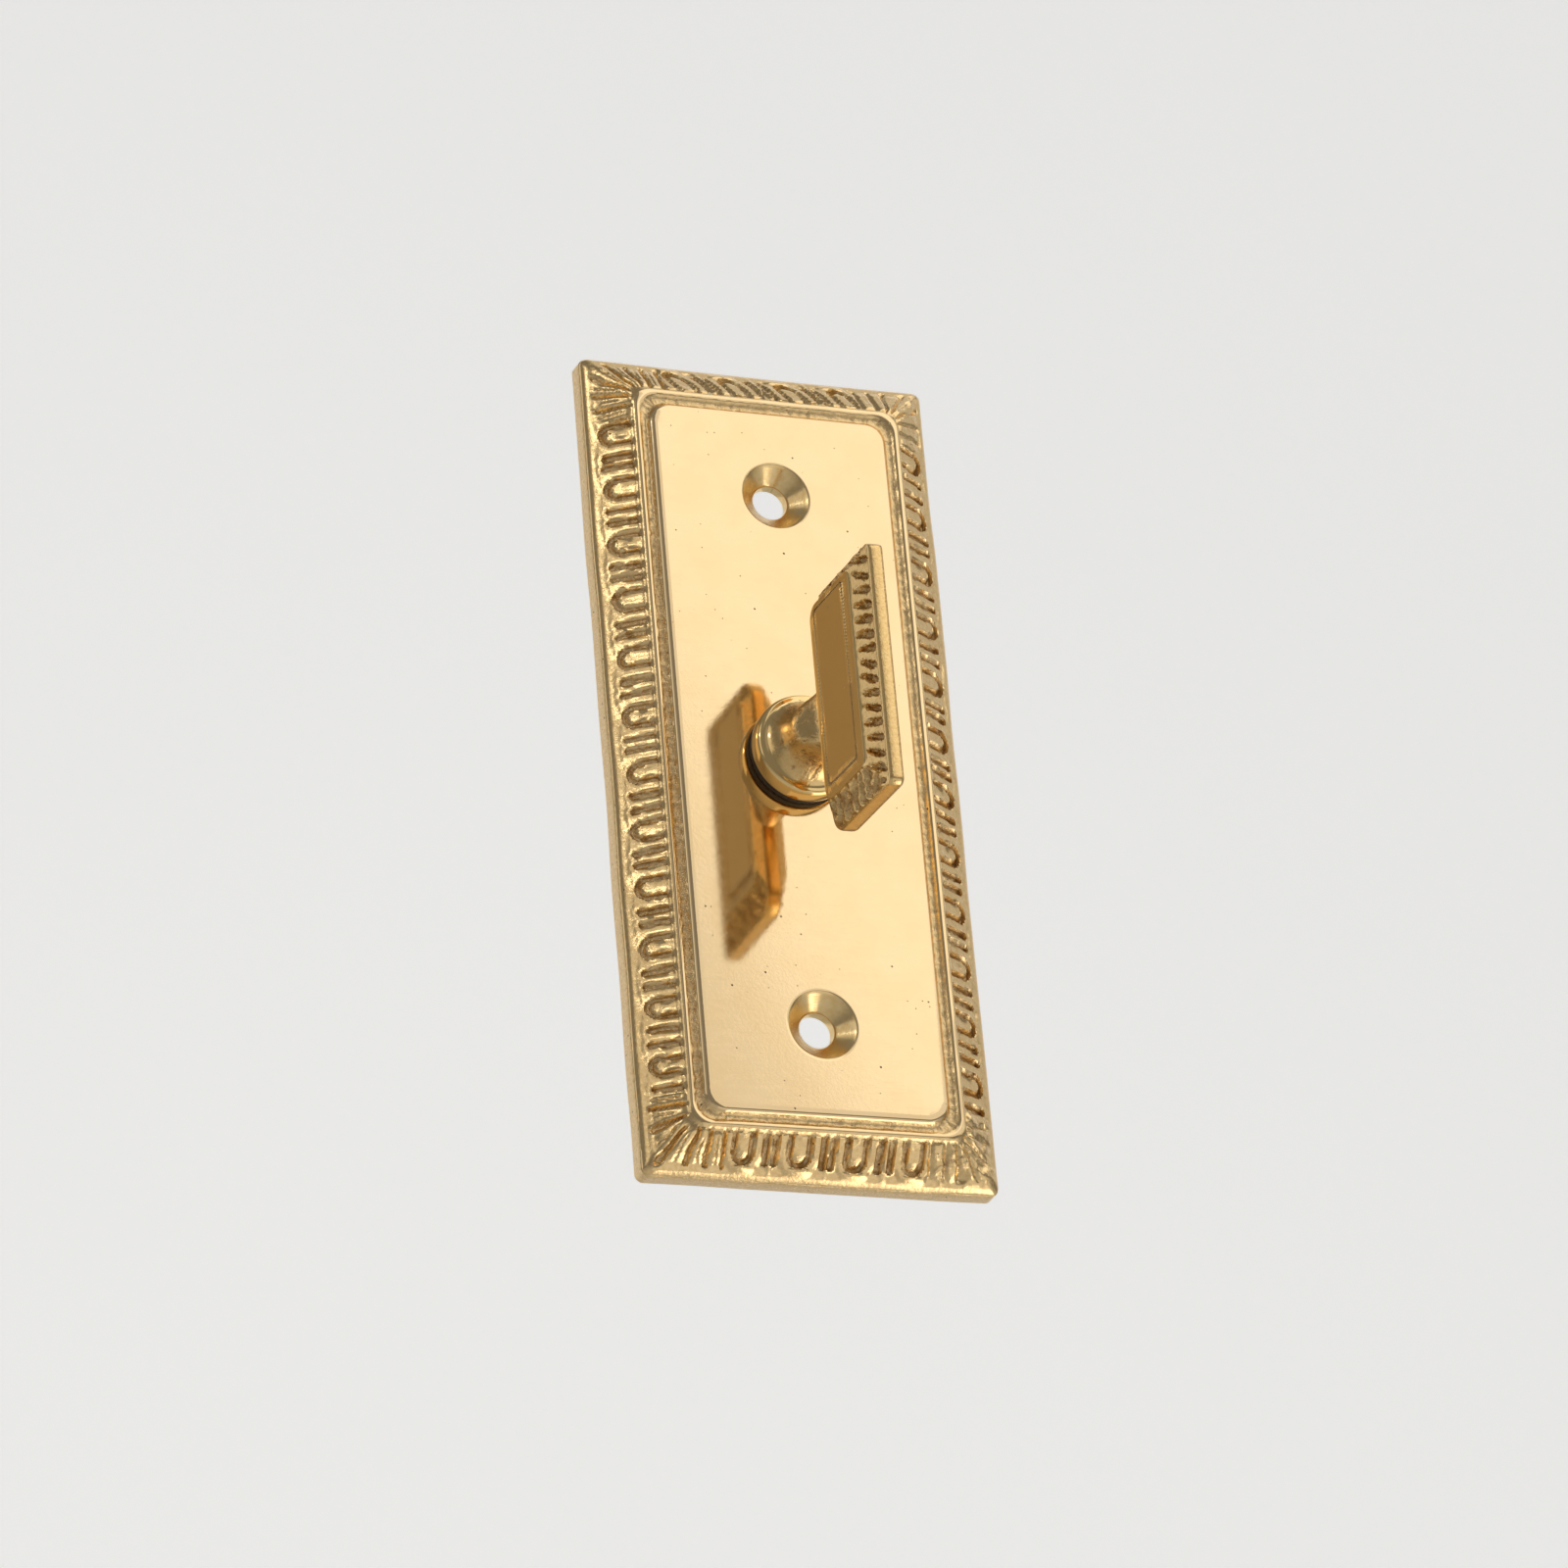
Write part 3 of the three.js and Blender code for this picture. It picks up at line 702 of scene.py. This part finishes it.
def stem_surface(angles, height):
    """Height change and recess of the stem: pits, a scar, a smudge and a crack left by the casting."""
    cast = smoothstep(FLANGE_TOP - 0.1, FLANGE_TOP + 0.8, height)
    u = angles * 6
    pits = np.clip(wander(u, height, 0.7, 101) - 0.5, 0, 1) * cast
    scar = bell(angles - math.radians(250), 0.45) * bell(height - 13.2, 1.9)
    rough = scar * (0.6 + 0.4 * wander(u * 1.6, height * 1.6, 0.5, 102))
    smudge = bell(angles - math.radians(112), 0.5) * bell(height - 11.6, 0.9)
    smudge = smudge * smoothstep(-0.2, 0.5, wander(u * 1.4, height * 1.4, 0.6, 105))
    crack = bell(angles - math.radians(268) - 0.06 * (height - 11), 0.035)
    crack = crack * smoothstep(10.7, 11.0, height) * (1 - smoothstep(12.4, 12.9, height))
    swell = 0.09 * wander(u, height, 2.4, 103) * cast
    swell = swell - 0.3 * pits - 0.25 * rough - 0.12 * smudge - 0.25 * crack
    # The stem above the flange is darker all over, partly the oxide of the as-cast neck and partly painted
    # shade under the wing.
    tone = 0.26 * cast + 0.1 * cast * wander(u, height, 1.3, 104)
    return swell, np.clip(tone + pits * 1.4 + rough * 0.8 + 0.6 * smudge + crack, 0, 1)


def stem():
    angles = np.arange(STEM_SIDES) * 2 * math.pi / STEM_SIDES
    profile = stem_profile()
    points, recess = [], []
    for across, along, height in profile:
        swell, sunk = stem_surface(angles, height)
        points.extend(turned_row(across + swell, along + swell, height, angles))
        recess.extend(sunk)
    faces = grid_faces(len(profile), STEM_SIDES)
    cap_ends(points, faces, recess, STEM_SIDES)
    return np.array(points), faces, np.array(recess)


def square_bar():
    """Points and faces of the bar that is cut away for the spindle's socket."""
    square = [(-1, -1), (1, -1), (1, 1), (-1, 1)]
    levels = (SHANK_TIP - 1, SOCKET_TOP)
    corners = [(x * SOCKET_HALF, y * SOCKET_HALF, z) for z in levels for x, y in square]
    return np.array(corners), [(3, 2, 1, 0), (4, 5, 6, 7)] + strip(0, 4, 4)


def round_pin():
    """Points and faces of the bar that is cut away across the shank for the cross pin."""
    ring = circle(PIN_HOLE_RADIUS, 0, count=PIN_HOLE_SIDES)
    ends = []
    for x in (-PIN_HOLE_REACH, PIN_HOLE_REACH):
        across = np.full(PIN_HOLE_SIDES, x)
        ends.append(np.stack([across, ring[:, 0], ring[:, 1] + PIN_HOLE_HEIGHT], axis=1))
    numbers = list(range(2 * PIN_HOLE_SIDES))
    caps = [tuple(numbers[PIN_HOLE_SIDES - 1::-1]), tuple(numbers[PIN_HOLE_SIDES:])]
    return np.concatenate(ends), grid_faces(2, PIN_HOLE_SIDES) + caps


def combine(base, other, operation):
    modifier = base.modifiers.new(operation, "BOOLEAN")
    modifier.operation = operation
    modifier.object = other
    modifier.solver = "MANIFOLD"
    graph = bpy.context.evaluated_depsgraph_get()
    mesh = bpy.data.meshes.new_from_object(base.evaluated_get(graph))
    base.modifiers.clear()
    old = base.data
    base.data = mesh
    mesh.name = base.name
    bpy.data.meshes.remove(old)
    bpy.data.objects.remove(other)


def thumb_turn():
    points, faces, recess = wing()
    turn = make_mesh("cast_thumb_turn", points, faces, {"recess": recess}, None)
    points, faces, recess = stem()
    combine(turn, make_mesh("stem_part", points, faces, {"recess": recess}, None), "UNION")
    for name, shape in (("socket_part", square_bar), ("pin_hole_part", round_pin)):
        points, faces = shape()
        cutter = make_mesh(name, points, faces, {"recess": np.zeros(len(points))}, None)
        combine(turn, cutter, "DIFFERENCE")
    shade(turn.data, 34)
    return turn


def friction_washer():
    angles = np.arange(WASHER_SIDES) * 2 * math.pi / WASHER_SIDES
    inner, outer = BORE_RADIUS + 0.15, FLANGE_RADIUS - 0.2
    bottom, top = WASHER_BOTTOM, WASHER_TOP
    middle = (bottom + top) / 2
    section = [(inner, bottom), (inner + 0.7, bottom), (outer - 0.15, bottom), (outer - 0.04, bottom + 0.1),
               (outer, middle - 0.2), (outer, middle + 0.2), (outer - 0.04, top - 0.1), (outer - 0.15, top),
               (inner + 0.7, top), (inner, top)]
    points = []
    for radius, height in section:
        rough = 0.05 * wander(angles * 6, height, 0.35, 111) * (radius > outer - 0.1)
        points.extend(turned_row(radius + rough, radius + rough, height, angles))
    last = len(points) - WASHER_SIDES
    faces = grid_faces(len(section), WASHER_SIDES) + strip(last, 0, WASHER_SIDES)
    return make_mesh("fibre_washer", np.array(points), faces, {"recess": np.zeros(len(points))})


# ---- materials -------------------------------------------------------------------------------

TOOL_RINGS = 46                 # radians of the tool's rings in a millimetre


class Recipe:
    """Adds and joins the nodes of one material."""

    def __init__(self, name):
        self.material = bpy.data.materials.new(name)
        self.material.use_nodes = True
        self.tree = self.material.node_tree
        self.shader = self.tree.nodes["Principled BSDF"]
        self.place = self.add("ShaderNodeTexCoord").outputs["Object"]

    def add(self, kind, **settings):
        node = self.tree.nodes.new(kind)
        for name, value in settings.items():
            setattr(node, name, value)
        return node

    def join(self, output, node_input):
        self.tree.links.new(output, node_input)

    def stretched(self, scale):
        """Coordinates in millimetres times scale, which is one number or three."""
        mapping = self.add("ShaderNodeMapping")
        mapping.inputs["Scale"].default_value = np.broadcast_to(scale, 3) / MM
        self.join(self.place, mapping.inputs["Vector"])
        return mapping.outputs["Vector"]

    def noise(self, scale, detail=3.0, roughness=0.55):
        node = self.add("ShaderNodeTexNoise")
        node.inputs["Scale"].default_value = 1.0
        node.inputs["Detail"].default_value = detail
        node.inputs["Roughness"].default_value = roughness
        self.join(self.stretched(scale), node.inputs["Vector"])
        return node.outputs["Fac"]

    def spots(self, scale, low, high, chance):
        """1 in small spots and 0 around them; chance is the share of cells that have one."""
        node = self.add("ShaderNodeTexVoronoi")
        node.inputs["Scale"].default_value = 1.0
        self.join(self.stretched(scale), node.inputs["Vector"])
        spot = self.ramp(node.outputs["Distance"], low, high, 1.0, 0.0)
        apart = self.add("ShaderNodeSeparateColor")
        self.join(node.outputs["Color"], apart.inputs["Color"])
        kept = self.ramp(apart.outputs["Red"], chance, chance + 0.01, 1.0, 0.0)
        return self.math("MULTIPLY", spot, kept)

    def ramp(self, value, from_low, from_high, to_low=0.0, to_high=1.0):
        node = self.add("ShaderNodeMapRange", interpolation_type="SMOOTHSTEP")
        node.inputs["From Min"].default_value = from_low
        node.inputs["From Max"].default_value = from_high
        node.inputs["To Min"].default_value = to_low
        node.inputs["To Max"].default_value = to_high
        self.join(value, node.inputs["Value"])
        return node.outputs["Result"]

    def math(self, operation, first, second=0):
        node = self.add("ShaderNodeMath", operation=operation)
        for number, value in enumerate((first, second)):
            if isinstance(value, (int, float)):
                node.inputs[number].default_value = value
            else:
                self.join(value, node.inputs[number])
        return node.outputs["Value"]

    def colour(self, factor, first, second):
        node = self.add("ShaderNodeMix", data_type="RGBA")
        self.join(factor, node.inputs["Factor"])
        for name, value in (("A", first), ("B", second)):
            socket = [item for item in node.inputs if item.name == name and item.type == "RGBA"][0]
            if isinstance(value, tuple):
                socket.default_value = (*value, 1)
            else:
                self.join(value, socket)
        return [item for item in node.outputs if item.type == "RGBA"][0]

    def bump(self, height, distance, before=None):
        """distance is in millimetres."""
        node = self.add("ShaderNodeBump")
        node.inputs["Strength"].default_value = 1.0
        node.inputs["Distance"].default_value = distance * MM
        self.join(height, node.inputs["Height"])
        if before is not None:
            self.join(before, node.inputs["Normal"])
        return node.outputs["Normal"]

    def attribute(self, name):
        return self.add("ShaderNodeAttribute", attribute_name=name).outputs["Fac"]

    def set(self, **sockets):
        for name, value in sockets.items():
            socket = self.shader.inputs[name.replace("_", " ").title()]
            if isinstance(value, tuple):
                socket.default_value = (*value, 1)
            elif isinstance(value, (int, float)):
                socket.default_value = value
            else:
                self.join(value, socket)


def dimmed(colour, shares):
    return tuple(value * share for value, share in zip(colour, shares))


def cast_brass(name, panel, border, shadowed, shine=0.05, grain=(0.35, 0.35, 6.0), pit_chance=0.25):
    """Brass that goes from polished to sandy and dark as the mesh's recess number goes from 0 to 1. The
    darkening is partly the patina of the hollows and partly painted shade in them.
    """
    recipe = Recipe(name)
    recess = recipe.attribute("recess")
    patches = recipe.noise(0.16, 4)
    mottle = recipe.noise(2.2, 4, 0.65)
    fleck = recipe.noise(3.6, 3, 0.7)
    # deep and dark mix the colour towards shadowed in the hollows: patina there, and painted shade in place
    # of their own shade
    deep = recipe.ramp(recess, BORDER_TONE + 0.02, 1.0)
    dark = recipe.math("MULTIPLY", deep, recipe.ramp(fleck, 0.35, 0.62, 1.0, 0.35))
    base = recipe.colour(recipe.ramp(patches, 0.35, 0.7), panel, dimmed(panel, (0.985, 0.965, 0.92)))
    cast = recipe.colour(recipe.ramp(mottle, 0.35, 0.68), border, dimmed(border, (0.9, 0.84, 0.74)))
    base = recipe.colour(recipe.ramp(recess, 0.02, BORDER_TONE), base, cast)
    base = recipe.colour(dark, base, shadowed)
    specks = recipe.math("MAXIMUM", recipe.spots(0.45, 0.03, 0.07, pit_chance),
                         recipe.spots(1.1, 0.05, 0.09, 0.12 * pit_chance / 0.25))
    base = recipe.colour(specks, base, (0.1, 0.06, 0.03))
    fine = recipe.noise(grain, 3, 0.6)
    smear = recipe.noise((0.5, 0.5, 1.6), 3)
    polish = recipe.math("ADD", recipe.ramp(fine, 0.3, 0.7, shine - 0.015, shine + 0.015),
                         recipe.ramp(smear, 0.4, 0.75, 0.0, 0.03))
    polish = recipe.math("ADD", polish, recipe.ramp(recess, 0.05, BORDER_TONE, 0.0, 0.09))
    roughness = recipe.math("ADD", polish, recipe.math("MULTIPLY", deep, 0.16))
    sandy = recipe.noise(2.7, 4, 0.7)
    sand_height = recipe.math("MULTIPLY", sandy, recipe.ramp(recess, 0.12, 0.8, 0.02, 1.0))
    hollows = recipe.math("MULTIPLY", mottle, recipe.ramp(recess, 0.1, BORDER_TONE))
    normal = recipe.bump(recipe.noise(0.055, 1), 0.012)
    normal = recipe.bump(fine, 0.0005, normal)
    normal = recipe.bump(hollows, 0.03, normal)
    normal = recipe.bump(sand_height, 0.12, normal)
    normal = recipe.bump(specks, -0.03, normal)
    recipe.set(base_color=base, metallic=1.0, roughness=roughness, normal=normal)
    return recipe.material


def countersunk_brass():
    """Cut brass with fine rings left by the tool round each screw hole."""
    recipe = Recipe("countersunk_brass")
    apart = recipe.add("ShaderNodeSeparateXYZ")
    recipe.join(recipe.stretched(1), apart.inputs["Vector"])
    across = apart.outputs["X"]
    height = recipe.math("SUBTRACT", recipe.math("ABSOLUTE", apart.outputs["Z"]), SCREW_HEIGHT)
    squares = recipe.math("ADD", recipe.math("MULTIPLY", across, across),
                          recipe.math("MULTIPLY", height, height))
    rings = recipe.math("SINE", recipe.math("MULTIPLY", recipe.math("SQRT", squares), TOOL_RINGS))
    mottle = recipe.noise(1.4, 4)
    base = recipe.colour(recipe.ramp(mottle, 0.35, 0.7), (0.92, 0.68, 0.34), (0.84, 0.58, 0.25))
    roughness = recipe.ramp(mottle, 0.3, 0.7, 0.17, 0.24)
    normal = recipe.bump(rings, 0.0015)
    normal = recipe.bump(mottle, 0.002, normal)
    recipe.set(base_color=base, metallic=1.0, roughness=roughness, normal=normal)
    return recipe.material


def sand_cast_back():
    recipe = Recipe("sand_cast_back")
    grain = recipe.noise(3.2, 6, 0.7)
    patches = recipe.noise(0.12, 4)
    base = recipe.colour(recipe.ramp(patches, 0.35, 0.65), (0.5, 0.33, 0.15), (0.34, 0.2, 0.09))
    roughness = recipe.ramp(grain, 0.3, 0.7, 0.42, 0.62)
    recipe.set(base_color=base, metallic=1.0, roughness=roughness, normal=recipe.bump(grain, 0.12))
    return recipe.material


def black_fibre():
    recipe = Recipe("black_fibre")
    grain = recipe.noise(4.5, 4, 0.7)
    base = recipe.colour(recipe.ramp(grain, 0.5, 0.75), (0.022, 0.013, 0.008), (0.2, 0.11, 0.05))
    roughness = recipe.ramp(grain, 0.3, 0.7, 0.45, 0.75)
    recipe.set(base_color=base, roughness=roughness, normal=recipe.bump(grain, 0.05))
    return recipe.material


def steel(name, light, dark, shine, grain):
    recipe = Recipe(name)
    fine = recipe.noise(grain, 4, 0.6)
    patches = recipe.noise(0.35, 4)
    base = recipe.colour(recipe.ramp(patches, 0.35, 0.68), light, dark)
    roughness = recipe.ramp(fine, 0.3, 0.7, shine, shine + 0.14)
    normal = recipe.bump(patches, 0.02, recipe.bump(fine, 0.006))
    recipe.set(base_color=base, metallic=1.0, roughness=roughness, normal=normal)
    return recipe.material


# ---- the object ------------------------------------------------------------------------------

plate = backplate()
plate.data.materials.append(
    cast_brass("plate_brass_polished", (0.93, 0.69, 0.39), (0.91, 0.665, 0.34), (0.52, 0.35, 0.18)))
plate.data.materials.append(countersunk_brass())
plate.data.materials.append(sand_cast_back())
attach(plate, "plate")
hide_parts("backplate")

turn = thumb_turn()
turn.data.materials.clear()
turn.data.materials.append(
    cast_brass("turn_brass_polished", (0.92, 0.66, 0.3), (0.86, 0.6, 0.27), (0.34, 0.19, 0.08),
               shine=0.08, grain=1.5, pit_chance=0.5))
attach(turn, "turn")
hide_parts("thumb_turn")

washer = friction_washer()
washer.data.materials.append(black_fibre())
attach(washer, "plate")
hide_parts("friction_washer")

STEELS = {
    "wave_washer": steel("spring_steel_blued", (0.32, 0.31, 0.31), (0.2, 0.17, 0.15), 0.26, 2.5),
    "thrust_washer": steel("zinc_plate", (0.6, 0.61, 0.63), (0.45, 0.46, 0.47), 0.25, 3.0),
    "retaining_ring": steel("black_phosphate", (0.07, 0.068, 0.066), (0.035, 0.033, 0.032), 0.4, 5.0),
    "spindle_bar": steel("drawn_bar_steel", (0.55, 0.56, 0.57), (0.4, 0.4, 0.41), 0.24, (8.0, 0.25, 8.0)),
    "cross_pin": steel("oiled_pin_steel", (0.28, 0.28, 0.29), (0.16, 0.15, 0.15), 0.3, (0.4, 6.0, 6.0)),
}
for node, material in STEELS.items():
    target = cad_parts[node]
    target.data.materials.clear()
    target.data.materials.append(material)


# ---- stage, lights and camera ----------------------------------------------------------------

def stage_sheet(name, corners, colour, glow=0.0):
    mesh = bpy.data.meshes.new(name)
    mesh.from_pydata(corners, [], [(0, 1, 2, 3)])
    obj = bpy.data.objects.new(name, mesh)
    bpy.context.scene.collection.objects.link(obj)
    recipe = Recipe(name + "_paint")
    base = recipe.colour(recipe.noise(0.004, 3), colour, dimmed(colour, (0.97, 0.97, 0.97)))
    recipe.set(base_color=base, roughness=0.9, emission_color=colour, emission_strength=glow)
    mesh.materials.append(recipe.material)


FLOOR = -0.7                    # metres, as are the stage's other sizes and the lights'
SIDE = 4
BACK = 1.5
TOP = 3.5
stage_sheet("floor", [(-SIDE, -SIDE, FLOOR), (SIDE, -SIDE, FLOOR), (SIDE, BACK, FLOOR), (-SIDE, BACK, FLOOR)],
            (0.8, 0.8, 0.79))
stage_sheet("backdrop", [(-SIDE, BACK, FLOOR), (SIDE, BACK, FLOOR), (SIDE, BACK, TOP), (-SIDE, BACK, TOP)],
            (0.85, 0.85, 0.845), 0.5)


def direction(azimuth, elevation):
    """azimuth 0 is straight in front of the plate and 90 is to its right."""
    az, el = math.radians(azimuth), math.radians(elevation)
    return Vector((math.sin(az) * math.cos(el), -math.cos(az) * math.cos(el), math.sin(el)))


def area_light(name, place_at, size, brightness, colour=(1, 1, 1), roll=0):
    """A flat light that faces the plate. brightness is what it adds to what lies behind it in a
    reflection, where 1 is full white."""
    data = bpy.data.lights.new(name, "AREA")
    data.shape = "RECTANGLE"
    data.size, data.size_y = size
    data.energy = math.pi * brightness * size[0] * size[1]
    data.color = colour
    light = bpy.data.objects.new(name, data)
    light.location = place_at
    turned = place_at.to_track_quat("Z", "Y") @ Quaternion((0, 0, 1), math.radians(roll))
    light.rotation_euler = turned.to_euler()
    bpy.context.scene.collection.objects.link(light)


area_light("key", direction(43.9, 43.2) * 1.8, (1.5, 1.5), 0.36, (1.0, 0.99, 0.97), roll=5)
area_light("key_surround", direction(42, 34) * 2.4, (2.6, 3.2), 0.6, (1.0, 0.99, 0.96))
area_light("left_soft", direction(-50, 24) * 1.3, (0.72, 1.0), 0.45, (1.0, 0.97, 0.9))
area_light("left_strip", direction(-48, 31) * 1.28, (0.36, 0.1), 3.6)
area_light("front_left", direction(-22, 25) * 1.4, (0.4, 0.6), 0.12, (1.0, 0.97, 0.92))
area_light("right_soft", direction(93, 24) * 1.2, (0.7, 0.9), 0.33)
area_light("top_soft", direction(105, 68) * 1.2, (0.8, 0.8), 0.4)
area_light("low_front", direction(28, -42) * 0.9, (0.9, 0.8), 0.25, (1.0, 0.98, 0.94))
area_light("low_rim", direction(84, -64) * 0.75, (0.62, 0.6), 1.75, (1.0, 0.98, 0.94))

world = bpy.data.worlds.new("studio")
world.use_nodes = True
bpy.context.scene.world = world
background = world.node_tree.nodes["Background"]
background.inputs["Color"].default_value = (1.0, 0.985, 0.96, 1)
background.inputs["Strength"].default_value = 0.22

camera_data = bpy.data.cameras.new("camera")
camera_data.sensor_width = 36
camera_data.lens = 157.5
camera_data.clip_start = 0.01
camera_data.clip_end = 20
camera = bpy.data.objects.new("camera", camera_data)
camera.location = (-0.2891, -0.6826, -0.3259)
camera.rotation_euler = Euler([math.radians(angle) for angle in (113.774, 4.625, -20.973)], "XYZ")
bpy.context.scene.collection.objects.link(camera)
bpy.context.scene.camera = camera

bpy.context.scene.view_settings.view_transform = "Standard"
bpy.context.scene.view_settings.look = "None"
